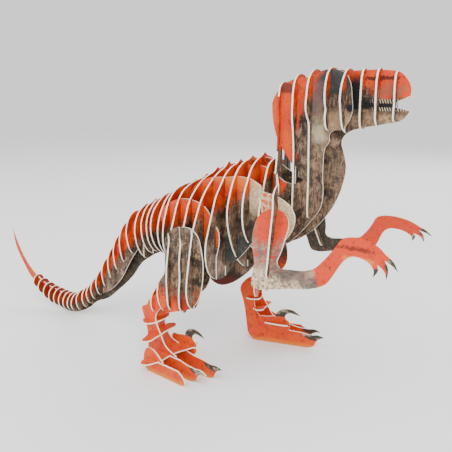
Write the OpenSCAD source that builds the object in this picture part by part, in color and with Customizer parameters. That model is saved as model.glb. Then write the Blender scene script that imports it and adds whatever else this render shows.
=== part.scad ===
// Slotted wooden dinosaur, a walking raptor.
// Every piece is a flat board. Upright plates run from nose to tail, ribs stand across them,
// and each crossing is a half lap: the rib's slot opens downwards, the plate's opens upwards.

/* [Overall size] */
// Length from the tip of the tail to the front of the claws, mm
total_length = 532; // [440:1:640]
// Height from the floor to the crest of the head, mm
total_height = 302; // [250:1:365]
// Width over both feet, mm
total_width = 176; // [146:1:212]

/* [Board and fit] */
// Thickness of the board, mm
board = 1.5; // [1.2:0.1:2.5]
// Free space on each side of a board in its slot, mm
slot_fit = 0.15; // [0.05:0.05:0.4]
// Free space around the knobs that join the three spine pieces, mm
knob_fit = 0.1; // [0.05:0.05:0.3]
// Radius of those knobs, mm
knob_radius = 5; // [3:0.5:7]

/* [Plates, distance from the middle at the standard width] */
// Side plates, mm
side_y = 8.5; // [7:0.5:10]
// Flank plates, mm
flank_y = 30.5; // [29:0.5:31]
// Shoulder plates, mm
shoulder_y = 33.2; // [33:0.2:34]
// Inner thigh plates, mm
inner_thigh_y = 48; // [46:0.5:50]
// Outer thigh plates, mm
outer_thigh_y = 68; // [68:0.5:71]

/* [Pose] */
// Lean of the arms, top inwards, degrees
arm_lean = 28.7; // [27:0.1:30]
// Turn of the arms, hands outwards, degrees
arm_turn = 5.7; // [4:0.1:8]
// Turn of the feet, toes outwards, degrees
toe_turn = 10.5; // [8:0.5:12]
// How far the left foot stands ahead of the right one, mm
stride = 59; // [54:1:62]
// Swing of the left thigh about the hip, degrees
thigh_swing = 25; // [22:1:27]
// Slope of the foot boards and ankle rings, inner side up, degrees
foot_slope = 28; // [22:1:32]

/* [Ribs, at the standard length] */
// Distance between body ribs, mm
rib_pitch = 13.5; // [12.5:0.1:14]
// First body rib ahead of the hip line, mm
first_rib = 57; // [56:0.5:58]

/* [Hidden] */
// Straight pieces between two points of an outline
steps = 3;
// The standard size that the outlines are drawn at
drawn = [532, 176, 302];
k = [total_length / drawn[0], total_width / drawn[1], total_height / drawn[2]];
// From the hip line back to the middle of the whole length
hip_to_middle = 70;
slot = board + 2 * slot_fit;
far = 1000;
// How far a slot is cut past the edge that it opens through
slot_overrun = 8;
hip = [-8, 165];

// ---------- Drawing to real size ----------

function at_x(x) = (x + hip_to_middle) * k[0];
function at_y(y) = y * k[1];
function at_z(z) = z * k[2];
function plate_size(points) = [for (p = points) [at_x(p[0]), at_z(p[1])]];
function rib_size(points) = [for (p = points) [at_y(p[0]), at_z(p[1])]];
function turned(points, angle) = [for (p = points)
    let (d = [p[0] - hip[0], p[1] - hip[1]])
    [hip[0] + d[0] * cos(angle) - d[1] * sin(angle),
     hip[1] + d[0] * sin(angle) + d[1] * cos(angle), p[2]]];

// ---------- Smooth outlines ----------

// A closed curve through the points. A third value of 1 keeps a sharp corner.
function flat(p) = [p[0], p[1]];
function unit(v) = v / max(norm(v), 0.001);
function heading(a, b, c) =
    let (before = b - a, after = c - b)
    unit(unit(before) * norm(after) + unit(after) * norm(before));
function bend(a, b, da, db, s) =
    let (l = norm(b - a))
    a * (2 * s * s * s - 3 * s * s + 1) + b * (3 * s * s - 2 * s * s * s)
    + da * l * (s * s * s - 2 * s * s + s) + db * l * (s * s * s - s * s);
function curve(points) =
    let (count = len(points), p = [for (q = points) flat(q)],
        aim = [for (i = [0:count - 1]) points[i][2] == 1 ? undef
            : heading(p[(i + count - 1) % count], p[i], p[(i + 1) % count])])
    [for (i = [0:count - 1]) for (j = [0:steps - 1])
        let (next = (i + 1) % count, straight = unit(p[next] - p[i]))
        bend(p[i], p[next], is_undef(aim[i]) ? straight : aim[i],
            is_undef(aim[next]) ? straight : aim[next], j / steps)];

// A rib from the outlines of its two sides, each from the crest down to the middle of the lower edge
function rib_outline(right, left) =
    curve(concat([for (p = right) [-p[0], p[1], p[2]]],
        [for (i = [len(left) - 2:-1:1]) left[i]]));

// ---------- Half laps ----------

// Heights at which an outline crosses an upright line, lowest first
function sorted(v) = len(v) < 2 ? v
    : let (mid = v[floor(len(v) / 2)])
    concat(sorted([for (a = v) if (a < mid) a]), [for (a = v) if (a == mid) a],
        sorted([for (a = v) if (a > mid) a]));
function crossings(outline, at) =
    sorted([for (i = [0:len(outline) - 1])
        let (a = outline[i], b = outline[(i + 1) % len(outline)])
        if ((a[0] <= at) != (b[0] <= at)) a[1] + (b[1] - a[1]) * (at - a[0]) / (b[0] - a[0])]);
function shared(a, b) = [for (i = [0:2:len(a) - 2]) for (j = [0:2:len(b) - 2])
    let (low = max(a[i], b[j]), high = min(a[i + 1], b[j + 1]))
    if (high > low) [low, high]];
function highest(laps) = let (top = max([for (l = laps) l[1]])) [for (l = laps) if (l[1] == top) l][0];

// Height of the middle of the uppermost lap of a plate and a rib, or undef where they don't cross
function lap_height(plate, y, rib, x) =
    let (mid = shared(crossings(plate, x), crossings(rib, y)),
        edges = [for (dx = [-1, 1]) for (dy = [-1, 0, 1])
            each shared(crossings(plate, x + dx * board / 2), crossings(rib, y + dy * board / 2))],
        laps = len(mid) > 0 ? mid : edges)
    len(laps) == 0 ? undef : let (lap = highest(laps)) (lap[0] + lap[1]) / 2;

// Height at which a plate's slot that starts at s has left the plate
function slot_end(plate, x, s) =
    let (ends = [for (dx = [-1, 0, 1]) let (z = crossings(plate, x + dx * slot / 2))
        for (i = [0:2:len(z) - 2]) if (z[i] <= s && z[i + 1] >= s) z[i + 1]])
    max(concat(ends, [s])) + slot_overrun;

// ---------- Outlines of the plates, x and z from the hip line and the floor ----------

core_points = [[63, 262], [62, 274], [66, 284], [76, 289], [92, 291], [103, 297], [118, 299], [126, 299],
    [161, 299], [170, 297.5], [176, 292], [180, 284.5], [180, 278, 1], [176, 276], [169, 273, 1], [168, 268, 1],
    [173, 267], [180, 265, 1], [176, 259], [160, 254], [140, 250], [128, 246], [122, 239], [125, 225],
    [127, 214], [125, 200], [118, 180], [110, 167], [96, 151], [84, 142], [65, 134], [50, 126],
    [38, 112], [28, 99], [18, 90], [4, 81], [-8, 78], [-18, 82], [-26, 94], [-40, 105], [-70, 107],
    [-90, 102], [-102, 95], [-113, 87], [-127, 69], [-154, 44], [-169, 32], [-188, 24], [-202, 13],
    [-224, 3], [-240, 1], [-264, 8], [-280, 16], [-294, 26], [-306, 36], [-320, 55], [-332, 77],
    [-336, 101, 1], [-327, 80], [-313, 57], [-296, 41], [-284, 33], [-264, 27], [-245, 24],
    [-228, 25], [-213, 32], [-201, 40], [-193, 45], [-186, 53], [-177, 63], [-165, 80], [-146, 111],
    [-133, 129], [-119, 144], [-100, 157], [-78, 166], [-51, 180], [-24, 193], [-11, 202], [3, 209],
    [17, 212], [33, 216], [46, 219], [57, 216], [66, 211], [76, 205], [86, 200, 1], [80, 213],
    [73, 223], [66, 238]];
side_points = [[56, 262], [56, 272], [60, 280], [68, 288], [80, 293], [93, 294], [103, 299], [117, 300],
    [126, 296], [130, 289], [132, 277], [133, 265], [130, 256], [123, 248], [116, 247], [113, 244],
    [113, 238], [109, 231], [108, 218], [108, 204], [109, 190], [107, 176], [97, 161], [86, 148],
    [70, 134], [50, 124], [38, 117], [24, 112], [6, 108], [-10, 106], [-40, 110], [-70, 114],
    [-93, 118], [-107, 110], [-124, 89], [-139, 65], [-159, 46], [-170, 40, 1], [-166, 60],
    [-156, 84], [-146, 102], [-135, 118], [-120, 134], [-100, 149], [-78, 160], [-51, 174],
    [-25, 188], [-12, 197], [0, 203], [14, 207], [35, 211], [48, 211], [58, 206], [77, 196],
    [89, 200, 1], [84, 210], [77, 216], [70, 225], [61, 240]];
flank_points = [[-22, 185], [-7, 197], [18, 201], [42, 202], [50, 199], [57, 194], [60, 187], [60, 170],
    [57, 152], [48, 140], [34, 123], [20, 113], [8, 107], [-8, 110], [-20, 125], [-27, 150]];
shoulder_points = [[54.5, 184], [56, 191, 1], [68, 189], [80, 185], [88, 179], [92, 172], [92, 163],
    [87, 152], [79, 143], [68, 138], [58, 142], [55, 160]];
inner_thigh_points = [[-46, 166], [-36, 174], [-22, 179], [-6, 178], [5, 173], [14, 160], [20, 150],
    [21, 143], [18, 127], [12, 108], [6, 92], [-4, 84], [-14, 84], [-24, 95], [-34, 118], [-44, 142]];
outer_thigh_points = [[-29, 126], [-28, 143], [-22, 151], [-8, 156], [2, 155], [9, 149], [13, 136],
    [15, 122], [14, 104], [11, 90], [4, 78], [-6, 72], [-20, 68], [-31, 65], [-36, 72], [-39, 82],
    [-38, 95], [-31, 104]];

core_outline = plate_size(curve(core_points));
side_outline = plate_size(curve(side_points));
flank_outline = plate_size(curve(flank_points));
shoulder_outline = plate_size(curve(shoulder_points));
inner_thigh_r_outline = plate_size(curve(inner_thigh_points));
inner_thigh_l_outline = plate_size(curve(turned(inner_thigh_points, thigh_swing)));
outer_thigh_r_outline = plate_size(curve(outer_thigh_points));
outer_thigh_l_outline = plate_size(curve(turned(outer_thigh_points, thigh_swing)));

// Every plate that ribs cross, with its place across the body
PLATES = [
    [core_outline, 0],
    [side_outline, -at_y(side_y)], [side_outline, at_y(side_y)],
    [flank_outline, -at_y(flank_y)], [flank_outline, at_y(flank_y)],
    [shoulder_outline, -at_y(shoulder_y)], [shoulder_outline, at_y(shoulder_y)],
    [inner_thigh_r_outline, -at_y(inner_thigh_y)], [inner_thigh_l_outline, at_y(inner_thigh_y)],
    [outer_thigh_r_outline, -at_y(outer_thigh_y)], [outer_thigh_l_outline, at_y(outer_thigh_y)]];

// ---------- Half outlines of the ribs, distance from the middle and height ----------

snout_sides = [
    [[0, 301], [5, 299], [8, 294], [9, 284], [9, 268], [8, 256], [5, 250], [0, 248]],
    [[0, 301], [6, 299], [10, 291], [10.5, 280], [9.5, 266], [8, 257], [4, 253], [0, 252]],
    [[0, 298], [4, 296], [6.5, 289], [6.5, 280], [5, 271], [6, 263], [4, 257], [0, 256]]];
cheek_side = [[0, 301], [9, 299], [16, 293], [21, 285], [23, 274], [20, 265], [18, 258], [13, 250],
    [6, 246], [0, 245]];
throat_side = [[0, 302], [8, 301], [14, 297], [18, 290], [20, 281], [19, 272], [16, 266, 1], [17.5, 259],
    [16, 253], [11, 248], [0, 246]];
neck_1_side = [[0, 301], [7, 300], [13, 297], [19, 290], [22, 279], [23, 266], [19, 259], [15, 254],
    [13.5, 243], [13, 229], [12, 215], [11.5, 200], [11.5, 182], [11, 170], [7, 162], [0, 160]];
neck_2_side = [[0, 297], [7, 296], [12, 293], [16, 286], [18, 272], [18, 258], [15, 245], [13, 229],
    [12.3, 215], [12, 198], [12.5, 175], [12, 160], [8, 150], [0, 148]];
yoke_side = [[0, 290], [6, 289], [11, 285], [13, 277], [13, 250], [13.5, 231], [15, 218], [17, 206],
    [16.5, 190, 1], [12, 186], [6, 187], [3.5, 192], [3, 215], [3, 236], [0, 242]];
body_sides = [
    [[0, 219], [8, 218], [17, 214], [24, 202], [29, 189], [34, 178], [37, 167], [37, 157], [31, 146],
        [18, 138], [0, 134]],
    [[0, 224, 1], [5, 221], [14, 218], [26, 211], [34, 200], [41, 188], [44, 174], [43, 159],
        [38, 147], [28, 136], [14, 127], [0, 124]],
    [[0, 220, 1], [6, 217], [16, 215], [27, 210], [36, 201], [44, 187], [49, 172], [48, 158],
        [44, 145], [36, 129], [25, 116], [12, 108], [0, 106]],
    [[0, 216, 1], [6, 212], [15, 210], [28, 204], [38, 194], [47, 184], [53, 172], [60, 156],
        [66, 140], [66, 125], [61, 112], [50, 103], [36, 100], [18, 105], [0, 112]],
    [[0, 213, 1], [6, 208], [18, 204], [32, 197], [43, 189], [52, 180], [60, 167], [67, 153],
        [72, 136], [76, 118], [79, 103], [79, 90], [74, 79], [66, 75], [58, 82], [50, 95],
        [36, 103], [18, 111], [0, 118]],
    [[0, 206, 1], [6, 202], [18, 199], [30, 195], [41, 188], [52, 178], [60, 161], [67, 143],
        [71, 123], [71, 103], [73, 86], [70, 71], [63, 67], [56, 78], [48, 93], [34, 101],
        [16, 111], [0, 118]],
    [[0, 198, 1], [6, 195], [20, 193], [33, 190], [44, 185], [53, 175], [60, 160], [67, 144],
        [71, 128], [74, 110], [74, 91], [70, 70], [63, 65], [56, 78], [48, 95], [34, 104],
        [16, 113], [0, 118]],
    [[0, 191, 1], [8, 189], [22, 188], [36, 185], [47, 177], [55, 163], [60, 146], [59, 130],
        [52, 117], [40, 110], [20, 110], [0, 113]],
    [[0, 185, 1], [8, 183], [20, 181], [32, 176], [41, 167], [48, 155], [51, 143], [49, 130],
        [41, 118], [28, 109], [12, 106], [0, 107]]];
left_body_sides = [
    body_sides[0],
    body_sides[1],
    [[0, 220, 1], [6, 217], [16, 215], [27, 210], [36, 201], [44, 189], [53, 174], [62, 158],
        [70, 140], [75, 118], [76, 98], [72, 84], [64, 82], [56, 93], [44, 103], [24, 106], [0, 106]],
    [[0, 216, 1], [6, 212], [15, 210], [28, 204], [38, 194], [48, 183], [57, 170], [65, 155],
        [72, 138], [75, 120], [72, 106], [64, 101], [52, 103], [36, 106], [18, 109], [0, 112]],
    [[0, 213, 1], [6, 208], [18, 204], [32, 197], [43, 189], [53, 179], [62, 165], [69, 150],
        [73, 134], [73, 116], [67, 104], [58, 101], [44, 104], [22, 112], [0, 118]],
    [[0, 206, 1], [6, 202], [18, 199], [30, 195], [41, 188], [52, 178], [61, 164], [69, 150],
        [72, 136], [68, 122], [56, 113], [38, 112], [18, 114], [0, 118]],
    [[0, 198, 1], [6, 195], [20, 193], [33, 190], [44, 184], [52, 174], [56, 160], [56, 144],
        [50, 129], [38, 119], [18, 116], [0, 118]],
    body_sides[7],
    body_sides[8]];
rump_sides = [
    [[0, 178, 1], [8, 176], [20, 174], [32, 167], [41, 158], [45, 146], [43, 132], [35, 119],
        [22, 110], [0, 107]],
    [[0, 171, 1], [8, 169], [18, 166], [27, 159], [34, 148], [35, 136], [31, 122], [21, 111],
        [10, 107], [0, 106]],
    [[0, 165, 1], [7, 162], [15, 159], [22, 152], [27, 142], [27, 130], [23, 117], [15, 107],
        [0, 101]],
    [[0, 158, 1], [6, 155], [12, 152], [18, 145], [22, 134], [21, 120], [16, 107], [9, 98],
        [0, 93]]];

// Tail ribs as place, top, bottom and half width
tail_table = [[-120, 148, 95, 19], [-134, 133, 81, 15.5], [-145, 117, 69, 14.5], [-155, 101, 57, 14],
    [-166, 85, 45, 13.5], [-177, 68, 34, 13], [-186, 57, 27, 13], [-194, 48, 20, 13],
    [-202, 42, 13, 13], [-213, 35, 7, 12.3]];
// Rings of the tail as place, height of the middle and radius
ring_table = [[-222.5, 16.5, 12.3], [-230, 15.5, 11.8], [-238, 15.2, 11.7], [-246, 16, 11.6],
    [-255, 17.5, 11.5], [-264, 19, 11.3], [-274, 22.5, 10.8], [-284.5, 27.5, 9.8], [-294, 33, 8.6]];

function oval_side(top, bottom, width) =
    let (h = top - bottom)
    [[0, top], [width * 0.62, top - h * 0.09], [width, top - h * 0.36], [width * 0.96, top - h * 0.6],
     [width * 0.55, top - h * 0.91], [0, bottom]];
function tail_side(i) = oval_side(tail_table[i][1], tail_table[i][2], tail_table[i][3]);
function ring_side(i) =
    let (r = ring_table[i])
    [for (a = [90:-30:-90]) [r[2] * cos(a), r[1] + r[2] * sin(a)]];

snout_x = [139.5, 153, 167.5];
cheek_x = 126;
throat_x = 111;
neck_1_x = 95;
neck_2_x = 80;
yoke_x = 64;
function body_x(i) = first_rib - i * rib_pitch;

function whole(side) = rib_size(rib_outline(side, side));

snout_outlines = [for (s = snout_sides) whole(s)];
cheek_outline = whole(cheek_side);
throat_outline = whole(throat_side);
neck_1_outline = whole(neck_1_side);
neck_2_outline = whole(neck_2_side);
yoke_outline = whole(yoke_side);
body_outlines = [for (i = [0:8]) rib_size(rib_outline(body_sides[i], left_body_sides[i]))];
rump_outlines = [for (s = rump_sides) whole(s)];
tail_outlines = [for (i = [0:len(tail_table) - 1]) whole(tail_side(i))];
ring_outlines = [for (i = [0:len(ring_table) - 1]) whole(ring_side(i))];

// Every rib, with its place along the body
RIBS = concat(
    [for (i = [0:2]) [snout_outlines[i], at_x(snout_x[i])]],
    [[cheek_outline, at_x(cheek_x)], [throat_outline, at_x(throat_x)],
     [neck_1_outline, at_x(neck_1_x)], [neck_2_outline, at_x(neck_2_x)],
     [yoke_outline, at_x(yoke_x)]],
    [for (i = [0:8]) [body_outlines[i], at_x(body_x(i))]],
    [for (i = [0:3]) [rump_outlines[i], at_x(body_x(i + 9))]],
    [for (i = [0:len(tail_table) - 1]) [tail_outlines[i], at_x(tail_table[i][0])]],
    [for (i = [0:len(ring_table) - 1]) [ring_outlines[i], at_x(ring_table[i][0])]]);

// ---------- Boards ----------

module upright(y) {
    translate([0, y, 0])
        rotate([90, 0, 0])
        linear_extrude(height = board, center = true)
        children();
}

module across(x) {
    translate([x, 0, 0])
        rotate([90, 0, 90])
        linear_extrude(height = board, center = true)
        children();
}

// A plate with an open slot for each rib that crosses it
module slotted_plate(outline, y) {
    difference() {
        polygon(outline);
        for (rib = RIBS) {
            s = lap_height(outline, y, rib[0], rib[1]);
            if (!is_undef(s))
                translate([rib[1] - slot / 2, s])
                    square([slot, slot_end(outline, rib[1], s) - s]);
        }
    }
}

// A rib with an open slot for each plate that it crosses
module slotted_rib(outline, x) {
    difference() {
        polygon(outline);
        for (plate = PLATES) {
            s = lap_height(plate[0], plate[1], outline, x);
            if (!is_undef(s))
                translate([plate[1] - slot / 2, s - far])
                    square([slot, far]);
        }
    }
}

module rib(outline, x) {
    across(x) slotted_rib(outline, x);
}

// Pieces are drawn on the left side. The right side is its mirror image.
module on_side(side) {
    if (side > 0)
        children();
    else
        mirror([0, 1, 0]) children();
}

// ---------- Spine: head, body and tail boards joined by knobs ----------

neck_seam_x = at_x(86);
tail_seam_x = at_x(-112);
neck_knob = [neck_seam_x + knob_radius * 0.7, at_z(172)];
tail_knob = [tail_seam_x - knob_radius * 0.7, at_z(103)];

// Everything that belongs to the head board: ahead of the seam, and above the notch behind the neck
module head_zone() {
    polygon([[neck_seam_x, 0], [neck_seam_x, at_z(200)], [at_x(60), at_z(225)], [at_x(40), at_z(240)],
        [at_x(40), far], [far, far], [far, 0]]);
}

module tail_zone() {
    translate([tail_seam_x - far, -far / 2]) square(far);
}

module knob(at, extra) {
    translate(at) circle(r = knob_radius + extra, $fn = 48);
}

module head_core() {
    color([0.66, 0.55, 0.45]) upright(0) difference() {
        intersection() {
            slotted_plate(core_outline, 0);
            head_zone();
        }
        knob(neck_knob, knob_fit);
    }
}

module body_core() {
    color([0.62, 0.51, 0.4]) upright(0) difference() {
        slotted_plate(core_outline, 0);
        difference() {
            head_zone();
            knob(neck_knob, 0);
        }
        difference() {
            tail_zone();
            knob(tail_knob, 0);
        }
    }
}

module tail_core() {
    color([0.6, 0.5, 0.4]) upright(0) difference() {
        intersection() {
            slotted_plate(core_outline, 0);
            tail_zone();
        }
        knob(tail_knob, knob_fit);
    }
}

// ---------- Plates beside the spine ----------

module body_plate(outline, y, side) {
    on_side(side) upright(at_y(y)) slotted_plate(outline, side * at_y(y));
}

module side_plate(side) {
    color([0.85, 0.42, 0.24]) body_plate(side_outline, side_y, side);
}

module flank_plate(side) {
    color([0.88, 0.5, 0.33]) body_plate(flank_outline, flank_y, side);
}

module inner_thigh(side) {
    color([0.84, 0.4, 0.22])
        body_plate(side > 0 ? inner_thigh_l_outline : inner_thigh_r_outline, inner_thigh_y, side);
}

// ---------- Ribs ----------

module snout_rib(i) {
    color([0.87, 0.45, 0.3]) rib(snout_outlines[i], at_x(snout_x[i]));
}

module cheek_rib() {
    color([0.8, 0.45, 0.32]) rib(cheek_outline, at_x(cheek_x));
}

module throat_rib() {
    color([0.78, 0.43, 0.3]) rib(throat_outline, at_x(throat_x));
}

module neck_rib_1() {
    color([0.76, 0.41, 0.28]) rib(neck_1_outline, at_x(neck_1_x));
}

module neck_rib_2() {
    color([0.75, 0.4, 0.27]) rib(neck_2_outline, at_x(neck_2_x));
}

module body_rib(i) {
    color([0.82, 0.38, 0.18]) rib(body_outlines[i], at_x(body_x(i)));
}

module rump_rib(i) {
    color([0.8, 0.36, 0.18]) rib(rump_outlines[i], at_x(body_x(i + len(body_sides))));
}

module tail_rib(i) {
    color([0.78, 0.35, 0.18]) rib(tail_outlines[i], at_x(tail_table[i][0]));
}

// The small ribs towards the tip of the tail
module tail_rings(first) {
    for (i = [first:len(tail_table) - 1])
        tail_rib(i);
    color([0.76, 0.34, 0.18])
        for (i = [0:len(ring_table) - 1])
            rib(ring_outlines[i], at_x(ring_table[i][0]));
}

// ---------- Arms, hung on the sprung legs of the yoke rib ----------

arm_at = [at_x(70), at_y(37.7), at_z(172)];
arm_tilt = atan2(k[1] * sin(arm_lean), k[2] * cos(arm_lean));
arm_yaw = atan2(k[1] * sin(arm_turn), k[0] * cos(arm_turn));
arm_rise = norm([k[1] * sin(arm_lean), k[2] * cos(arm_lean)]);
arm_lap = -27 * arm_rise;
// The legs' lean backwards with height, and forwards with distance from the middle
leg_at = [at_x(74.1), at_y(34), at_z(185)];
leg_lean = atan2(0.1 * k[0], k[2]);
leg_turn = atan2(0.0756 * k[0], k[1]);
shoulder_lap = at_z(178);

arm_points = [[-13, -14], [-12, -5], [-7, 1], [1, 4.5], [10, 3.5], [18, -1], [22, -9], [22, -20],
    [21.5, -33], [21, -45], [24, -47.5], [36, -47.5], [49, -46], [57, -42.5], [63, -35], [70, -23],
    [76, -12.5], [82, -10.5], [90, -10], [100, -12], [109, -16], [115, -20.5], [122, -25],
    [127.5, -32.5, 1], [121, -28], [114.5, -25, 1], [119, -31], [120, -41, 1], [116.5, -34],
    [109.5, -29.5, 1], [111.5, -34], [108.5, -40.5, 1], [108, -35], [104, -30.5], [94, -26.5],
    [86, -27], [81.5, -31], [78, -38], [75, -46], [71, -53.5], [63, -58.5], [42, -63.5], [22, -68],
    [9, -70.5], [2, -68.5], [0, -62], [-2, -48], [-8, -36], [-12, -24]];
yoke_leg_points = [[30, 197.5], [36, 195], [42, 190], [45.5, 178], [52, 165], [59, 151.5], [64, 141],
    [69, 130.5], [72, 124.5], [70.5, 120], [66.5, 118.5], [61, 121], [57, 127], [52, 136],
    [46, 146.5], [38, 160], [33, 168], [30, 178, 1]];

module in_arm() {
    translate(arm_at) rotate([90 + arm_tilt, 0, arm_yaw]) children();
}

module in_yoke_leg() {
    translate(leg_at) rotate([0, -leg_lean, -leg_turn]) rotate([90, 0, 90]) children();
}

module slab(thickness) {
    cube([far, far, thickness], center = true);
}

module above_arm_lap() {
    in_arm() translate([-far / 2, arm_lap, -far / 2]) cube(far);
}

module below_arm_lap() {
    in_arm() translate([-far / 2, arm_lap - far, -far / 2]) cube(far);
}

module arm(side) {
    color([0.86, 0.45, 0.33]) on_side(side) difference() {
        in_arm() linear_extrude(height = board, center = true)
            polygon([for (p = curve(arm_points)) [p[0] * k[0], p[1] * arm_rise]]);
        intersection() {
            in_yoke_leg() slab(slot);
            above_arm_lap();
        }
    }
}

module shoulder_plate(side) {
    color([0.92, 0.8, 0.62]) on_side(side) difference() {
        upright(at_y(shoulder_y)) slotted_plate(shoulder_outline, side * at_y(shoulder_y));
        intersection() {
            in_yoke_leg() slab(slot);
            translate([-far / 2, 0, shoulder_lap]) cube(far);
        }
    }
}

module yoke_leg() {
    difference() {
        in_yoke_leg() linear_extrude(height = board, center = true)
            polygon([for (p = curve(yoke_leg_points))
                [at_y(p[0]) - leg_at[1], at_z(p[1]) - leg_at[2]]]);
        intersection() {
            in_arm() slab(slot);
            below_arm_lap();
        }
        translate([-far / 2, at_y(shoulder_y) - slot / 2, shoulder_lap - far]) cube([far, slot, far]);
    }
}

// The sprung part between the flat rib and its leg
bend_from = [at_x(yoke_x), at_y(14)];
bend_to = [at_x(73.6), at_y(30.5)];
bend_points = [[0, 206], [0.5, 201.5], [1, 197], [1, 179], [0.5, 184], [0, 190]];
module yoke_bend() {
    run = bend_to - bend_from;
    translate([bend_from[0], bend_from[1], 0])
        rotate([90, 0, atan2(run[1], run[0])])
        linear_extrude(height = board, center = true)
        polygon([for (p = bend_points) [p[0] * norm(run), at_z(p[1])]]);
}

module yoke_rib() {
    color([0.72, 0.38, 0.25]) {
        rib(yoke_outline, at_x(yoke_x));
        for (side = [-1, 1])
            on_side(side) {
                yoke_bend();
                yoke_leg();
            }
    }
}

// ---------- Lower legs and feet ----------

foot_y = 64;
outer_toe_y = 85;
middle_toe_y = 72;
inner_toe_y = 55;
sickle_y = 51;
shin_u = [-37, -48.5];
// Heights of the laps of each shin rib with the middle toe, the inner toe and the outer thigh
shin_laps = [[80, 73, 84], [67, 64, 72]];
board_z = 20.8;
ring_z = [49.5, 38];
// Places of the laps of the foot board and of each ankle ring, from the ball of the foot
board_laps = [-37, -36, -33, -22];
ring_laps = [[-55, -55], [-46, -50]];
ring_slope = foot_slope / 4;
board_slope = foot_slope * 0.6;

outer_toe_points = [[-55, 8], [-54.5, 18], [-50, 25], [-43, 26], [-36, 23], [-30, 18], [-24, 14.5],
    [-16, 14], [-9, 15], [-3, 12], [2, 8], [4, 3.5], [1, 0, 1], [-50, 0, 1]];
middle_toe_points = [[-34, 88], [-37, 94], [-41, 92], [-43, 83], [-50, 77], [-57, 71], [-60, 66],
    [-68, 61], [-66, 53], [-62, 44], [-60, 32], [-60, 18], [-59, 6], [-53, 0, 1], [3, 0, 1], [10, 4],
    [13, 10], [18, 12.5], [23, 12.5, 1], [17, 15.5], [8, 15], [-3, 15.5], [-12, 17.5], [-21, 20.5],
    [-29, 23.5], [-35, 27.5], [-39, 34], [-43, 41], [-47, 48], [-48, 54], [-45, 61], [-38, 68],
    [-34.5, 77]];
inner_toe_points = [[-35, 76], [-39, 80], [-50, 78], [-60, 72], [-66, 62], [-63, 50], [-60, 36],
    [-58, 20], [-55, 6], [-49, 0, 1], [14, 0, 1], [21, 3], [24, 9], [27, 12], [33, 14.5, 1],
    [26, 16.5], [17, 15.5], [6, 17], [-5, 17.5], [-14, 19], [-20, 20], [-30, 25], [-38, 27.5],
    [-45, 33.5], [-48, 40], [-49, 49], [-47, 60], [-40, 67]];
sickle_points = [[-41.5, 28], [-39, 32], [-32, 32.5], [-25, 34], [-22, 34, 1], [-20.5, 38.5],
    [-17, 42], [-12, 44], [-6, 44.5], [0, 43], [7, 38, 1], [0, 39.5], [-6, 39.8], [-9.5, 38],
    [-10.8, 34.5], [-9, 31.5, 1], [-6, 29.5], [-5, 26], [-6, 20], [-9, 16.5], [-16, 15.5],
    [-25, 16], [-34, 21]];
foot_board_points = [[-45, 32.5], [-38, 31.5], [-32.5, 26], [-28, 19.5], [-26.5, 13], [-24.5, 7],
    [-21.5, 1], [-17.5, -4], [-13, -10], [-9.5, -15], [-12, -19.5], [-22, -19], [-34, -16],
    [-43, -8], [-47, 3], [-48, 14], [-47, 24]];
ring_points = [
    [[-60, 13.5], [-55, 15.5], [-49, 12.5], [-46, 6], [-44.5, -4], [-46, -11], [-50, -14],
        [-57, -13], [-62, -6], [-64.5, 4], [-63.5, 10]],
    [[-45.5, 28], [-40, 25], [-39, 15], [-39.3, 7], [-40, 0], [-39.5, -7], [-39.5, -14],
        [-44, -17.5], [-50, -13], [-53.5, -3], [-53.5, 9], [-49.5, 19]]];
shin_rib_points = [
    [[0, 102], [8, 99], [12.5, 90], [12.5, 78], [9, 68], [2, 61], [-8, 61], [-16, 66], [-19, 74],
        [-18, 82], [-12, 87], [-6, 96]],
    [[-3, 87], [6, 84], [11.5, 76], [11.5, 66], [6, 57], [-3, 52], [-12, 54], [-17.5, 62],
        [-18, 72], [-12, 82]]];

foot_yaw = atan2(k[1] * sin(toe_turn), k[0] * cos(toe_turn));
foot_run = norm([k[0] * cos(toe_turn), k[1] * sin(toe_turn)]);
function slope_angle(slope) = atan2(k[2] * sin(slope), k[1] * cos(slope));
function slope_run(slope) = norm([k[1] * cos(slope), k[2] * sin(slope)]);
function foot_size(points) = [for (p = curve(points)) [p[0] * foot_run, p[1] * k[2]]];
function board_size(points, slope) = [for (p = curve(points)) [p[0] * foot_run, p[1] * slope_run(slope)]];
function shin_size(points) = [for (p = curve(points)) [p[0] * k[1], p[1] * k[2]]];

module in_foot(side) {
    translate([at_x(side > 0 ? stride : 0), at_y(foot_y), 0]) rotate([0, 0, foot_yaw]) children();
}

// The plane of a toe at distance y from the middle, level with the ball of the foot
module in_toe(y) {
    out = at_y(y - foot_y);
    translate([out * sin(foot_yaw), out * cos(foot_yaw), 0]) rotate([90, 0, 0]) children();
}

module in_cross_board(z, slope) {
    translate([0, 0, at_z(z)]) rotate([-slope_angle(slope), 0, 0]) children();
}

module in_shin_rib(i) {
    translate([shin_u[i] * foot_run, 0, 0]) rotate([90, 0, 90]) children();
}

module ahead_of(u) {
    translate([u * foot_run, -far / 2, -far / 2]) cube(far);
}

module behind(u) {
    translate([u * foot_run - far, -far / 2, -far / 2]) cube(far);
}

module higher_than(z) {
    translate([-far / 2, -far / 2, at_z(z)]) cube(far);
}

module lower_than(z) {
    translate([-far / 2, -far / 2, at_z(z) - far]) cube(far);
}

module cross_slot(z, slope, u) {
    intersection() {
        in_cross_board(z, slope) slab(slot);
        ahead_of(u);
    }
}

module shin_slot(i, z) {
    intersection() {
        in_shin_rib(i) slab(slot);
        higher_than(z);
    }
}

module toe_slot(y, u) {
    intersection() {
        in_toe(y) slab(slot);
        behind(u);
    }
}

module toe_board(points, y) {
    in_toe(y) linear_extrude(height = board, center = true) polygon(foot_size(points));
}

module outer_toe(side) {
    color([0.93, 0.47, 0.25]) on_side(side) in_foot(side) difference() {
        toe_board(outer_toe_points, outer_toe_y);
        cross_slot(board_z, board_slope, board_laps[0]);
    }
}

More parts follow.
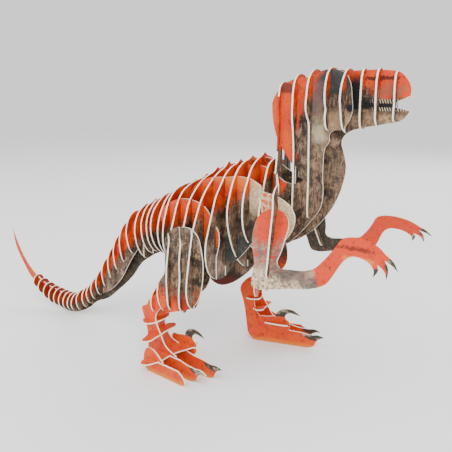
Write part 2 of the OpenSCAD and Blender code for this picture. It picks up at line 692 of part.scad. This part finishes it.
module middle_toe(side) {
    color([0.9, 0.42, 0.2]) on_side(side) in_foot(side) difference() {
        toe_board(middle_toe_points, middle_toe_y);
        cross_slot(board_z, board_slope, board_laps[1]);
        for (i = [0, 1]) {
            cross_slot(ring_z[i], ring_slope, ring_laps[i][0]);
            shin_slot(i, shin_laps[i][0]);
        }
    }
}

module inner_toe(side) {
    color([0.88, 0.4, 0.2]) on_side(side) in_foot(side) difference() {
        toe_board(inner_toe_points, inner_toe_y);
        cross_slot(board_z, board_slope, board_laps[2]);
        for (i = [0, 1]) {
            cross_slot(ring_z[i], ring_slope, ring_laps[i][1]);
            shin_slot(i, shin_laps[i][1]);
        }
    }
}

module sickle_claw(side) {
    color([0.6, 0.2, 0.1]) on_side(side) in_foot(side) difference() {
        toe_board(sickle_points, sickle_y);
        cross_slot(board_z, board_slope, board_laps[3]);
    }
}

module foot_board(side) {
    toes = [outer_toe_y, middle_toe_y, inner_toe_y, sickle_y];
    color([0.91, 0.45, 0.22]) on_side(side) in_foot(side) difference() {
        in_cross_board(board_z, board_slope)
            linear_extrude(height = board, center = true) polygon(board_size(foot_board_points, board_slope));
        for (i = [0:len(toes) - 1])
            toe_slot(toes[i], board_laps[i]);
    }
}

module ankle_rings(side) {
    color([0.89, 0.42, 0.2]) on_side(side) in_foot(side)
        for (i = [0, 1])
            difference() {
                in_cross_board(ring_z[i], ring_slope)
                    linear_extrude(height = board, center = true) polygon(board_size(ring_points[i], ring_slope));
                toe_slot(middle_toe_y, ring_laps[i][0]);
                toe_slot(inner_toe_y, ring_laps[i][1]);
            }
}

module shin_ribs(side) {
    toes = [middle_toe_y, inner_toe_y];
    color([0.86, 0.38, 0.18]) on_side(side)
        for (i = [0, 1])
            difference() {
                in_foot(side) difference() {
                    in_shin_rib(i) linear_extrude(height = board, center = true)
                        polygon(shin_size(shin_rib_points[i]));
                    for (j = [0, 1])
                        intersection() {
                            in_toe(toes[j]) slab(slot);
                            lower_than(shin_laps[i][j]);
                        }
                }
                translate([-far / 2, at_y(outer_thigh_y) - slot / 2, at_z(shin_laps[i][2])])
                    cube([far, slot, far]);
                translate([0, at_y(inner_thigh_y), 0]) rotate([90, 0, 0])
                    linear_extrude(height = slot, center = true)
                    polygon(side > 0 ? inner_thigh_l_outline : inner_thigh_r_outline);
            }
}

module outer_thigh(side) {
    color([0.74, 0.6, 0.46]) on_side(side) difference() {
        upright(at_y(outer_thigh_y))
            slotted_plate(side > 0 ? outer_thigh_l_outline : outer_thigh_r_outline,
                side * at_y(outer_thigh_y));
        for (i = [0, 1])
            intersection() {
                in_foot(side) in_shin_rib(i) slab(slot);
                lower_than(shin_laps[i][2]);
            }
    }
}

// ---------- Assembly ----------

head_core();
body_core();
tail_core();
side_plate(-1);  // side_plate_r
side_plate(1);  // side_plate_l
flank_plate(-1);  // flank_plate_r
flank_plate(1);  // flank_plate_l
shoulder_plate(-1);  // shoulder_plate_r
shoulder_plate(1);  // shoulder_plate_l
arm(-1);  // arm_r
arm(1);  // arm_l
inner_thigh(-1);  // inner_thigh_r
inner_thigh(1);  // inner_thigh_l
outer_thigh(-1);  // outer_thigh_r
outer_thigh(1);  // outer_thigh_l
outer_toe(-1);  // outer_toe_r
outer_toe(1);  // outer_toe_l
middle_toe(-1);  // middle_toe_r
middle_toe(1);  // middle_toe_l
inner_toe(-1);  // inner_toe_r
inner_toe(1);  // inner_toe_l
sickle_claw(-1);  // sickle_claw_r
sickle_claw(1);  // sickle_claw_l
foot_board(-1);  // foot_board_r
foot_board(1);  // foot_board_l
ankle_rings(-1);  // ankle_rings_r
ankle_rings(1);  // ankle_rings_l
shin_ribs(-1);  // shin_ribs_r
shin_ribs(1);  // shin_ribs_l
snout_rib(0);  // snout_rib_1
snout_rib(1);  // snout_rib_2
snout_rib(2);  // snout_rib_3
cheek_rib();
throat_rib();
neck_rib_1();
neck_rib_2();
yoke_rib();
body_rib(0);  // body_rib_1
body_rib(1);  // body_rib_2
body_rib(2);  // body_rib_3
body_rib(3);  // body_rib_4
body_rib(4);  // body_rib_5
body_rib(5);  // body_rib_6
body_rib(6);  // body_rib_7
body_rib(7);  // body_rib_8
body_rib(8);  // body_rib_9
rump_rib(0);  // rump_rib_1
rump_rib(1);  // rump_rib_2
rump_rib(2);  // rump_rib_3
rump_rib(3);  // rump_rib_4
tail_rib(0);  // tail_rib_1
tail_rib(1);  // tail_rib_2
tail_rib(2);  // tail_rib_3
tail_rib(3);  // tail_rib_4
tail_rib(4);  // tail_rib_5
tail_rib(5);  // tail_rib_6
tail_rings(6);
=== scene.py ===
import math

import bpy
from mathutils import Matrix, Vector

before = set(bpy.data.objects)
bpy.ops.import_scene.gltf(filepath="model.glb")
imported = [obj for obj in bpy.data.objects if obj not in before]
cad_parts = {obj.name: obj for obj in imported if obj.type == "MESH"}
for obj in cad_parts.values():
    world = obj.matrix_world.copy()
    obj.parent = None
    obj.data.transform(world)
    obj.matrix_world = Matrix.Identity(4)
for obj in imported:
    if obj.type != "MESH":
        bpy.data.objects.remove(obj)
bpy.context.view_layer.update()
print("frame loaded:", len(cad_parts), "boards")


def ink(red, green, blue):  # a printed colour, given 0 to 255
    return tuple(((c / 255 + 0.055) / 1.055) ** 2.4 if c > 10 else c / 255 / 12.92
                 for c in (red, green, blue)) + (1.0,)


# the inks of the printed skin
inks = {
    "coral": ink(206, 58, 18), "orange": ink(212, 74, 0), "ember": ink(164, 38, 0),
    "rust": ink(84, 20, 6), "taupe": ink(116, 92, 70), "umber": ink(40, 30, 21),
    "sand": ink(190, 154, 114), "rose": ink(172, 134, 110), "cream": ink(214, 198, 160),
    "amber": ink(224, 138, 30), "slate": ink(40, 48, 48), "mauve": ink(112, 88, 86),
    "olive": ink(50, 48, 32), "black": ink(12, 10, 10), "navy": ink(10, 16, 36),
    "claw": ink(58, 52, 42), "horn": ink(150, 140, 118), "edge": ink(252, 248, 232),
    "edgeShade": ink(226, 216, 192), "scorch": ink(170, 140, 104),
}


# small tools for building a finish
def startFinish(name, roughness=0.6):
    material = bpy.data.materials.new(name)
    material.use_nodes = True
    tree = material.node_tree
    shader = tree.nodes["Principled BSDF"]
    shader.inputs["Roughness"].default_value = roughness
    shader.inputs["Specular IOR Level"].default_value = 0.35
    place = tree.nodes.new("ShaderNodeTexCoord")
    split = tree.nodes.new("ShaderNodeSeparateXYZ")
    tree.links.new(place.outputs["Object"], split.inputs[0])
    return {"material": material, "tree": tree, "shader": shader, "place": place.outputs["Object"],
            "x": split.outputs[0], "y": split.outputs[1], "z": split.outputs[2]}


def plug(finish, socket, value):
    if isinstance(value, (float, int)):
        socket.default_value = value
    elif isinstance(value, tuple):
        socket.default_value = value
    else:
        finish["tree"].links.new(value, socket)


def sums(finish, kind, a, b=0.0, keepInRange=False):
    node = finish["tree"].nodes.new("ShaderNodeMath")
    node.operation = kind
    node.use_clamp = keepInRange
    plug(finish, node.inputs[0], a)
    plug(finish, node.inputs[1], b)
    return node.outputs[0]


def rising(finish, value, low, high):  # 0 below low, 1 above high
    node = finish["tree"].nodes.new("ShaderNodeMapRange")
    node.interpolation_type = "SMOOTHSTEP"
    plug(finish, node.inputs["Value"], value)
    node.inputs["From Min"].default_value = low
    node.inputs["From Max"].default_value = high
    return node.outputs["Result"]


def blend(finish, amount, under, over):
    node = finish["tree"].nodes.new("ShaderNodeMix")
    node.data_type = "RGBA"
    plug(finish, node.inputs[0], amount)
    plug(finish, node.inputs[6], under)
    plug(finish, node.inputs[7], over)
    return node.outputs[2]


def grain(finish, scale, detail=4.0, rough=0.6, stretch=(1, 1, 1), turn=0.0, shift=0.0):
    tree = finish["tree"]
    mapping = tree.nodes.new("ShaderNodeMapping")
    mapping.inputs["Location"].default_value = (shift, shift * 0.7, shift * 1.3)
    mapping.inputs["Rotation"].default_value = (0, math.radians(turn), 0)
    mapping.inputs["Scale"].default_value = stretch
    tree.links.new(finish["place"], mapping.inputs["Vector"])
    noise = tree.nodes.new("ShaderNodeTexNoise")
    noise.inputs["Scale"].default_value = scale
    noise.inputs["Detail"].default_value = detail
    noise.inputs["Roughness"].default_value = rough
    tree.links.new(mapping.outputs[0], noise.inputs["Vector"])
    return noise.outputs[0]


def cells(finish, scale):  # the distance to the edge of a cell
    node = finish["tree"].nodes.new("ShaderNodeTexVoronoi")
    node.feature = "DISTANCE_TO_EDGE"
    node.inputs["Scale"].default_value = scale
    finish["tree"].links.new(finish["place"], node.inputs["Vector"])
    return node.outputs["Distance"]


lineSpan = {"from": -0.28, "to": 0.28, "top": 0.32}


def lineHeight(finish, points):  # height of a line drawn along the body, from (x, z) in millimetres
    tree = finish["tree"]
    along = tree.nodes.new("ShaderNodeMapRange")
    plug(finish, along.inputs["Value"], finish["x"])
    along.inputs["From Min"].default_value = lineSpan["from"]
    along.inputs["From Max"].default_value = lineSpan["to"]
    ramp = tree.nodes.new("ShaderNodeValToRGB")
    stops = ramp.color_ramp.elements
    span = lineSpan["to"] - lineSpan["from"]
    places = [((x / 1000 - lineSpan["from"]) / span, z / 1000 / lineSpan["top"]) for x, z in points]
    stops[0].position, stops[-1].position = places[0][0], places[-1][0]
    stops[0].color = (places[0][1],) * 3 + (1,)
    stops[-1].color = (places[-1][1],) * 3 + (1,)
    for at, height in places[1:-1]:
        stop = stops.new(at)
        stop.color = (height,) * 3 + (1,)
    tree.links.new(along.outputs[0], ramp.inputs[0])
    return sums(finish, "MULTIPLY", ramp.outputs[0], lineSpan["top"])


def paint(finish, under, amount, over, strength=1.0):  # lays an ink, or another colour, over the first
    if strength < 1:
        amount = sums(finish, "MULTIPLY", amount, strength)
    return blend(finish, amount, under, inks[over] if isinstance(over, str) else over)


def specks(finish, low, high, scale, detail=4.0, rough=0.6, **lay):  # noise from low to high, as 0 to 1
    return rising(finish, grain(finish, scale, detail, rough, **lay), low, high)


def falling(finish, value, low, high):  # 1 below low, 0 above high
    return sums(finish, "SUBTRACT", 1.0, rising(finish, value, low, high))


def both(finish, a, b):
    return sums(finish, "MULTIPLY", a, b)


def strayed(finish, amount, scale, detail, shift=0.0):  # noise around nought, up to this amount each way
    noise = grain(finish, scale, detail, shift=shift)
    return sums(finish, "MULTIPLY", sums(finish, "SUBTRACT", noise, 0.5), amount * 2)


def above(finish, points, soft=4.0, wobble=10.0, fleck=8.0):  # 1 above the line, its edge broken into flecks
    wander = strayed(finish, wobble / 1000, 90, 3)
    spray = strayed(finish, fleck / 1000, 520, 2, 3)
    height = sums(finish, "ADD", finish["z"], sums(finish, "ADD", wander, spray))
    over = sums(finish, "SUBTRACT", height, lineHeight(finish, points))
    return rising(finish, over, -soft / 1000, soft / 1000)


def spot(finish, x, z, wide, high, soft=0.35, wobble=0.5, scale=110):  # 1 inside an oval patch, millimetres
    squares = []
    for along, middle, half in ((finish["x"], x, wide), (finish["z"], z, high)):
        far = sums(finish, "DIVIDE", sums(finish, "SUBTRACT", along, middle / 1000), half / 1000)
        squares.append(both(finish, far, far))
    reach = sums(finish, "SQRT", sums(finish, "ADD", squares[0], squares[1]))
    broken = sums(finish, "ADD", reach, strayed(finish, wobble, scale, 5, x / 50))
    return falling(finish, broken, 1 - soft, 1 + soft)


# what the prints share
def hideTop(finish, warm="coral", hot="orange"):  # the bright back, with dark specks
    colour = paint(finish, inks[warm], specks(finish, 0.4, 0.6, 55, 3), hot)
    colour = paint(finish, colour, specks(finish, 0.5, 0.68, 130, 6, 0.7, shift=5), "ember", 0.6)
    return paint(finish, colour, specks(finish, 0.6, 0.68, 380, 3, 0.7, shift=2), "umber", 0.85)


def hideLow(finish, pale="taupe", dark="umber", light="sand", turn=20.0):  # mottled underside with fur
    fur = specks(finish, 0.5, 0.62, 620, 3, 0.7, stretch=(1, 1, 0.22), turn=turn, shift=1)
    paleFur = specks(finish, 0.56, 0.66, 560, 3, 0.7, stretch=(1, 1, 0.2), turn=turn - 12, shift=13)
    colour = paint(finish, inks[dark], specks(finish, 0.4, 0.6, 60, 6, 0.75, shift=7), pale)
    colour = paint(finish, colour, specks(finish, 0.5, 0.66, 95, 6, 0.75, shift=4), light, 0.7)
    colour = paint(finish, colour, paleFur, light, 0.55)
    colour = paint(finish, colour, fur, dark, 0.8)
    return paint(finish, colour, specks(finish, 0.56, 0.66, 460, 3, 0.7, shift=9), dark, 0.6)


def nailPrint(finish, scale, high, stretch, turn):
    streaks = specks(finish, 0.5, high, scale, 2, stretch=stretch, turn=turn)
    return paint(finish, inks["claw"], streaks, "horn")


def endFinish(finish, colour, bump=0.12):  # a matt print on board: faint fibre relief and uneven sheen
    tree, shader = finish["tree"], finish["shader"]
    plug(finish, shader.inputs["Base Color"], colour)
    rough = tree.nodes.new("ShaderNodeMapRange")
    tree.links.new(grain(finish, 160, 3, shift=6), rough.inputs["Value"])
    rough.inputs["To Min"].default_value = 0.5
    rough.inputs["To Max"].default_value = 0.74
    tree.links.new(rough.outputs[0], shader.inputs["Roughness"])
    relief = tree.nodes.new("ShaderNodeBump")
    relief.inputs["Strength"].default_value = bump
    relief.inputs["Distance"].default_value = 0.0004
    tree.links.new(grain(finish, 700, 4, 0.6, stretch=(0.25, 1, 1), shift=11), relief.inputs["Height"])
    tree.links.new(relief.outputs[0], shader.inputs["Normal"])
    return finish["material"]


# the cut edge of the board
def makeCutEdge():
    finish = startFinish("cutEdge")
    colour = paint(finish, inks["edge"], specks(finish, 0.45, 0.75, 420, 3, 0.5, shift=2), "edgeShade")
    colour = paint(finish, colour, specks(finish, 0.66, 0.76, 200, 3, shift=8), "scorch", 0.35)
    return endFinish(finish, colour, 0.3)


# where the bright back meets the mottled underside, as (x, z) from the middle of the length, mm
lines = {
    "ribs": [(-268, 52), (-220, 18), (-180, 12), (-150, 18), (-120, 36), (-90, 66), (-60, 100), (-30, 124),
             (0, 138), (40, 152), (80, 170), (112, 182), (127, 200), (134, 225), (150, 262), (165, 276),
             (200, 284), (250, 284)],
    "core": [(-268, 60), (-220, 22), (-180, 14), (-150, 26), (-120, 44), (-90, 74), (-60, 106), (-30, 126),
             (0, 138), (40, 160), (90, 178), (126, 200), (131, 236), (150, 272), (196, 290), (208, 287),
             (232, 281), (250, 274)],
    "side": [(-110, 50), (-90, 74), (-60, 106), (-30, 128), (0, 138), (40, 150), (80, 168), (110, 184),
             (126, 186), (138, 186), (144, 200), (148, 236), (156, 262), (170, 288), (180, 306), (210, 306)],
    "flank": [(40, 188), (60, 180), (75, 166), (90, 182), (105, 186), (114, 190), (120, 214), (135, 214)],
    "innerThigh": [(10, 118), (24, 140), (40, 150), (60, 148), (75, 142), (95, 138), (120, 134)],
    "outerThigh": [(-280, 90), (30, 90), (60, 84), (90, 88), (130, 108), (280, 108)],
    "hand": [(-280, 320), (180, 320), (186, 150), (200, 124), (216, 96), (280, 90)],  # the forearm turns red
}


# the spine boards: snout, neck, belly and tail
teeth = {"width": 0.0011, "lean": 0.35, "from": 0.222, "upper": (0.2712, 0.2718, 0.2742, 0.2752),
         "lower": (0.2645, 0.2655, 0.2676, 0.2684)}


def row(finish, heights):  # a level band, soft at both sides
    return both(finish, rising(finish, finish["z"], heights[0], heights[1]),
                falling(finish, finish["z"], heights[2], heights[3]))


def makeCore():
    finish = startFinish("spinePrint")
    low = hideLow(finish, "taupe", "umber", "rose", 10)
    tailEnd = falling(finish, finish["x"], -0.04, 0.02)
    scutes = both(finish, falling(finish, cells(finish, 120), 0.0, 0.12), tailEnd)  # scales under the tail
    low = paint(finish, low, tailEnd, "olive", 0.65)
    low = paint(finish, low, scutes, "black", 0.8)
    belly = paint(finish, inks["rust"], rising(finish, finish["z"], 0.082, 0.096), "umber")
    low = paint(finish, low, spot(finish, 60, 84, 42, 14, 0.3, 0.25), belly)
    jaw = paint(finish, inks["taupe"], specks(finish, 0.42, 0.66, 240, 5, 0.7), "sand")
    low = paint(finish, low, spot(finish, 226, 257, 26, 7, 0.6, 0.6), jaw, 0.75)
    colour = paint(finish, low, above(finish, lines["core"], 3, 8, 5), hideTop(finish))
    colour = paint(finish, colour, spot(finish, 230, 281, 13, 6, 0.5, 0.9), "coral", 0.85)
    colour = paint(finish, colour, spot(finish, 246, 286, 9, 9, 0.3, 0.3), hideTop(finish, "coral", "coral"))
    colour = paint(finish, colour, spot(finish, 235, 282, 10, 5, 0.6, 1.3, 260), "taupe", 0.6)
    crest = spot(finish, 222, 292.5, 17, 1.8, 0.4, 2.2, 300)  # dashes below the crest
    colour = paint(finish, colour, crest, "black", 0.85)
    colour = paint(finish, colour, spot(finish, 88, 214, 34, 3.4, 0.4, 2.2, 150), "umber", 0.8)
    colour = paint(finish, colour, spot(finish, 201, 281, 8, 15, 0.5, 0.35), "black")  # around the eye
    colour = paint(finish, colour, spot(finish, 216, 269.5, 28, 3.2, 0.35, 0.3), "black")  # mouth
    slant = sums(finish, "ADD", finish["x"], sums(finish, "MULTIPLY", finish["z"], teeth["lean"]))
    wave = rising(finish, sums(finish, "PINGPONG", slant, teeth["width"]), teeth["width"] * 0.5, 0.0008)
    rows = sums(finish, "ADD", row(finish, teeth["upper"]), row(finish, teeth["lower"]), True)
    gums = both(finish, rising(finish, finish["x"], 0.212, teeth["from"]), rows)
    shown = both(finish, both(finish, wave, rising(finish, finish["x"], 0.214, teeth["from"])), rows)
    colour = paint(finish, colour, gums, "black", 0.8)
    colour = paint(finish, colour, shown, "cream", 0.85)
    return endFinish(finish, colour)


def makeSidePlate():
    finish = startFinish("sidePrint")
    low = hideLow(finish, "taupe", "umber", "rose", -15)
    low = paint(finish, low, spot(finish, 172, 246, 6, 11, 0.8, 1.3), "cream", 0.5)
    low = paint(finish, low, spot(finish, 190, 256, 14, 9, 0.7, 1.0), "sand", 0.55)
    colour = paint(finish, low, above(finish, lines["side"], 3, 9, 7), hideTop(finish))
    colour = paint(finish, colour, spot(finish, 188, 291, 19, 14, 0.3, 0.4), "slate", 0.9)
    colour = paint(finish, colour, spot(finish, 168, 276, 10, 14, 0.6, 1.3, 130), "mauve", 0.85)
    colour = paint(finish, colour, spot(finish, 144, 222, 9, 5, 0.5, 0.9), "coral", 0.8)
    colour = paint(finish, colour, spot(finish, 201, 267, 3.4, 3.4, 0.3, 0.2), "navy")
    colour = paint(finish, colour, spot(finish, 140, 284, 12, 5, 0.4, 1.2, 180), "umber", 0.8)
    return endFinish(finish, colour)


def makeRib():
    finish = startFinish("ribPrint")
    low = hideLow(finish, "taupe", "umber", "rose", 5)
    colour = paint(finish, low, above(finish, lines["ribs"], 5, 12, 9), hideTop(finish, "ember", "orange"))
    colour = paint(finish, colour, falling(finish, finish["x"], -0.2, -0.13), "rust", 0.5)
    return endFinish(finish, colour)


def makeFlank():
    finish = startFinish("flankPrint")
    low = hideLow(finish, "taupe", "umber", "sand", 20)
    low = paint(finish, low, spot(finish, 92, 128, 34, 16, 0.6, 0.7), "slate", 0.85)
    low = paint(finish, low, spot(finish, 122, 150, 12, 18, 0.5, 0.7), "slate", 0.7)
    speckled = paint(finish, inks["cream"], specks(finish, 0.42, 0.6, 420, 4, shift=4), "sand")
    low = paint(finish, low, spot(finish, 120, 190, 13, 20, 0.6, 0.9), speckled, 0.85)
    colour = paint(finish, low, above(finish, lines["flank"], 5, 14, 24), hideTop(finish, "coral", "orange"))
    colour = paint(finish, colour, spot(finish, 100, 200, 22, 8, 0.6, 0.7), "amber", 0.5)
    return endFinish(finish, colour)


def makeShoulder():
    finish = startFinish("shoulderPrint")
    colour = paint(finish, inks["cream"], specks(finish, 0.4, 0.68, 180, 5, shift=1), "sand")
    colour = paint(finish, colour, specks(finish, 0.56, 0.64, 560, 3, shift=3), "taupe", 0.75)
    rear = falling(finish, finish["x"], 0.132, 0.158)
    warm = both(finish, specks(finish, 0.46, 0.56, 240, 4, shift=9), rear)
    return endFinish(finish, paint(finish, colour, warm, "orange"))


# the arms, with painted shade: the sides that face each other are painted dark, because they lie in shadow
handClaws = [(262, 147, 8.5, 6), (259.5, 138, 3.6, 7), (248, 139, 4.4, 4.6)]  # x, z, half width, half height


def printClaws(finish, colour):
    nail = nailPrint(finish, 240, 0.62, (1, 1, 0.4), 35)
    for x, z, wide, high in handClaws:
        colour = paint(finish, colour, spot(finish, x, z, wide, high, 0.12, 0.05), nail)
    return colour


def makeShadedArmInside():
    finish = startFinish("shadedArmInsidePrint")
    # painted shade: a dark mottled print stands in for the shadow on the arm sides that face each other; the
    # red forearm and the claws on top are print
    dark = hideLow(finish, "olive", "umber", "taupe", 30)
    colour = paint(finish, dark, above(finish, lines["hand"], 3, 6, 6), hideTop(finish, "coral", "coral"))
    return endFinish(finish, printClaws(finish, colour))


def makeArm():
    finish = startFinish("armPrint")
    colour = paint(finish, inks["mauve"], specks(finish, 0.42, 0.6, 90, 6, 0.75, shift=2), "rose")
    colour = paint(finish, colour, specks(finish, 0.54, 0.64, 420, 3, 0.7, shift=12), "umber", 0.6)
    pale = paint(finish, inks["cream"], specks(finish, 0.42, 0.6, 320, 4, 0.75, shift=5), "taupe")
    colour = paint(finish, colour, spot(finish, 148, 116, 17, 13, 0.5, 0.5), pale)
    colour = paint(finish, colour, spot(finish, 182, 116, 24, 6, 0.7, 0.9), pale, 0.8)
    colour = paint(finish, colour, spot(finish, 172, 128, 15, 7, 0.6, 0.8), "slate", 0.7)
    colour = paint(finish, colour, spot(finish, 198, 121, 11, 6, 0.6, 0.8), "slate", 0.7)
    red = hideTop(finish, "coral", "coral")
    colour = paint(finish, colour, spot(finish, 146, 166, 20, 19, 0.3, 0.35), red)
    hem = spot(finish, 146, 148, 20, 22, 0.5, 0.5)
    flecks = both(finish, specks(finish, 0.52, 0.58, 360, 3, shift=8), hem)
    colour = paint(finish, colour, flecks, "coral")
    colour = paint(finish, colour, above(finish, lines["hand"], 3, 9, 7), red)
    colour = paint(finish, colour, spot(finish, 232, 147, 13, 2.2, 0.6, 1.0, 200), "amber", 0.7)
    colour = paint(finish, colour, spot(finish, 228, 155, 15, 1.5, 0.5, 2.0, 300), "rust", 0.8)
    return endFinish(finish, printClaws(finish, colour))


def makeInnerThigh():
    finish = startFinish("innerThighPrint")
    low = hideLow(finish, "taupe", "umber", "sand", 25)
    top = hideTop(finish, "orange", "coral")
    return endFinish(finish, paint(finish, low, above(finish, lines["innerThigh"], 6, 12, 26), top))


def makeOuterThigh():
    finish = startFinish("outerThighPrint")
    fur = hideLow(finish, "taupe", "umber", "sand", 25)
    hem = hideTop(finish, "orange", "ember")
    return endFinish(finish, paint(finish, hem, above(finish, lines["outerThigh"], 6, 12, 26), fur))


# the feet, with claws printed from clawFrom on, or above clawHigh
def makeFoot(name, clawFrom=None, clawHigh=None):
    finish = startFinish(name)
    colour = paint(finish, inks["orange"], specks(finish, 0.4, 0.64, 80, 4, shift=3), "coral")
    colour = paint(finish, colour, specks(finish, 0.5, 0.66, 120, 6, 0.75, shift=6), "ember", 0.75)
    strokes = specks(finish, 0.6, 0.68, 380, 3, stretch=(1, 1, 0.35), turn=-30, shift=2)
    colour = paint(finish, colour, strokes, "rust", 0.6)
    lift = sums(finish, "MULTIPLY", grain(finish, 140, 3), 0.004)
    sole = falling(finish, sums(finish, "ADD", finish["z"], lift), 0.003, 0.009)
    colour = paint(finish, colour, sole, "amber", 0.6)
    nail = nailPrint(finish, 260, 0.64, (0.4, 1, 1), -20)
    if clawFrom is not None:
        colour = paint(finish, colour, spot(finish, clawFrom * 1000 + 3, 15.5, 15, 6.2, 0.1, 0.12), nail)
        tip = rising(finish, finish["x"], clawFrom + 0.0022, clawFrom + 0.0034)
        colour = paint(finish, colour, tip, nail)
    if clawHigh is not None:
        tip = rising(finish, finish["z"], clawHigh - 0.0008, clawHigh + 0.0008)
        colour = paint(finish, colour, tip, nail)
    return endFinish(finish, colour)


claws = {"stride": 0.059, "middleToe": 0.0822, "innerToe": 0.0902, "sickle": 0.0345}
finishes = {
    "edge": makeCutEdge(), "core": makeCore(), "side": makeSidePlate(), "rib": makeRib(),
    "flank": makeFlank(), "shoulder": makeShoulder(), "arm": makeArm(),
    "innerThigh": makeInnerThigh(), "outerThigh": makeOuterThigh(), "foot": makeFoot("footPrint"),
    "shadedArmInside": makeShadedArmInside(), "outerToe": makeFoot("outerToePrint"),
    "middleToe_r": makeFoot("middleToeRightPrint", claws["middleToe"]),
    "middleToe_l": makeFoot("middleToeLeftPrint", claws["middleToe"] + claws["stride"]),
    "innerToe_r": makeFoot("innerToeRightPrint", claws["innerToe"]),
    "innerToe_l": makeFoot("innerToeLeftPrint", claws["innerToe"] + claws["stride"]),
    "sickle": makeFoot("sicklePrint", clawHigh=claws["sickle"]),
}
print("finishes made:", len(finishes))


def finishFor(node):
    side = node[-2:]
    starts = {"head_core": "core", "body_core": "core", "tail_core": "core", "side_plate": "side",
              "flank": "flank", "shoulder": "shoulder", "arm": "arm", "inner_thigh": "innerThigh",
              "outer_thigh": "outerThigh", "outer_toe": "outerToe", "middle_toe": "middleToe" + side,
              "inner_toe": "innerToe" + side, "sickle": "sickle", "foot_board": "foot",
              "ankle": "foot", "shin": "foot"}
    for start, finish in starts.items():
        if node.startswith(start):
            return finishes[finish]
    return finishes["rib"]


facing = {"same": 0.9995, "board": 0.995, "inside": 0.3}  # how nearly two directions agree
yokePlanes = 5  # the yoke rib is bent, so its faces lie in this many planes


def boardPlanes(mesh, count):  # the directions that the widest faces look in
    found = []
    for face in mesh.polygons:
        toFront = face.normal.x + face.normal.y * 1.01 + face.normal.z * 1.02 > 0
        outward = face.normal.copy() if toFront else -face.normal
        for entry in found:
            if abs(entry[0].dot(outward)) > facing["same"]:
                entry[1] += face.area
                break
        else:
            found.append([outward, face.area])
    return [entry[0] for entry in sorted(found, key=lambda entry: -entry[1])[:count]]


printed, edged, inner = 0, 1, 2  # the material places on each board
for name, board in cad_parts.items():
    board.data.materials.clear()
    board.data.materials.append(finishFor(name))
    board.data.materials.append(finishes["edge"])
    if name.startswith("arm_"):
        board.data.materials.append(finishes["shadedArmInside"])
    inward = -1 if name.endswith("_l") else 1
    planes = boardPlanes(board.data, yokePlanes if name == "yoke_rib" else 1)
    for face in board.data.polygons:
        face.use_smooth = False
        flat = any(abs(face.normal.dot(plane)) > facing["board"] for plane in planes)
        face.material_index = printed if flat else edged
        # the arm faces turned towards the other arm take the painted shade finish
        if flat and name.startswith("arm_") and face.normal.y * inward > facing["inside"]:
            face.material_index = inner
print("boards printed and edged")

# floor, light and camera
floorSettings = {"size": 6.0, "colour": ink(250, 250, 250), "level": -0.0005}
bpy.ops.object.select_all(action="DESELECT")
bpy.ops.mesh.primitive_plane_add(size=floorSettings["size"], location=(0, 0, floorSettings["level"]))
floor = bpy.context.object
floor.name = "floor"
floorMaterial = bpy.data.materials.new("paleFloor")
floorMaterial.use_nodes = True
floorMaterial.node_tree.nodes["Principled BSDF"].inputs["Base Color"].default_value = floorSettings["colour"]
floorMaterial.node_tree.nodes["Principled BSDF"].inputs["Roughness"].default_value = 0.9
floor.data.materials.append(floorMaterial)

world = bpy.data.worlds.new("studio")
bpy.context.scene.world = world
world.use_nodes = True
world.node_tree.nodes["Background"].inputs[0].default_value = (1, 1, 1, 1)
world.node_tree.nodes["Background"].inputs[1].default_value = 1.15

lamps = {
    "keyLight": {"at": (0.9, -1.2, 1.5), "size": 1.2, "power": 36},
    "fillLight": {"at": (-1.4, -0.9, 0.9), "size": 1.4, "power": 14},
    "backLight": {"at": (0.2, 1.5, 1.3), "size": 1.4, "power": 16},
}
for lampName, lamp in lamps.items():
    bpy.ops.object.light_add(type="AREA", location=lamp["at"])
    light = bpy.context.object
    light.name = lampName
    light.data.size = lamp["size"]
    light.data.energy = lamp["power"]
    light.rotation_euler = (Vector((0, 0, 0.15)) - Vector(lamp["at"])).to_track_quat("-Z", "Y").to_euler()

cameraSettings = {"at": (0.3628, -0.4970, 0.2814), "round": 30.5, "down": 13.4, "lens": 45}
cameraData = bpy.data.cameras.new("camera")
cameraData.lens = cameraSettings["lens"]
cameraData.sensor_width = 36
cameraData.clip_start = 0.01
camera = bpy.data.objects.new("camera", cameraData)
bpy.context.scene.collection.objects.link(camera)
camera.location = cameraSettings["at"]
turned, tilted = math.radians(cameraSettings["round"]), math.radians(cameraSettings["down"])
level = math.cos(tilted)
looking = Vector((-math.sin(turned) * level, math.cos(turned) * level, -math.sin(tilted)))
camera.rotation_euler = looking.to_track_quat("-Z", "Y").to_euler()
bpy.context.scene.camera = camera
print("stage, lights and camera set")
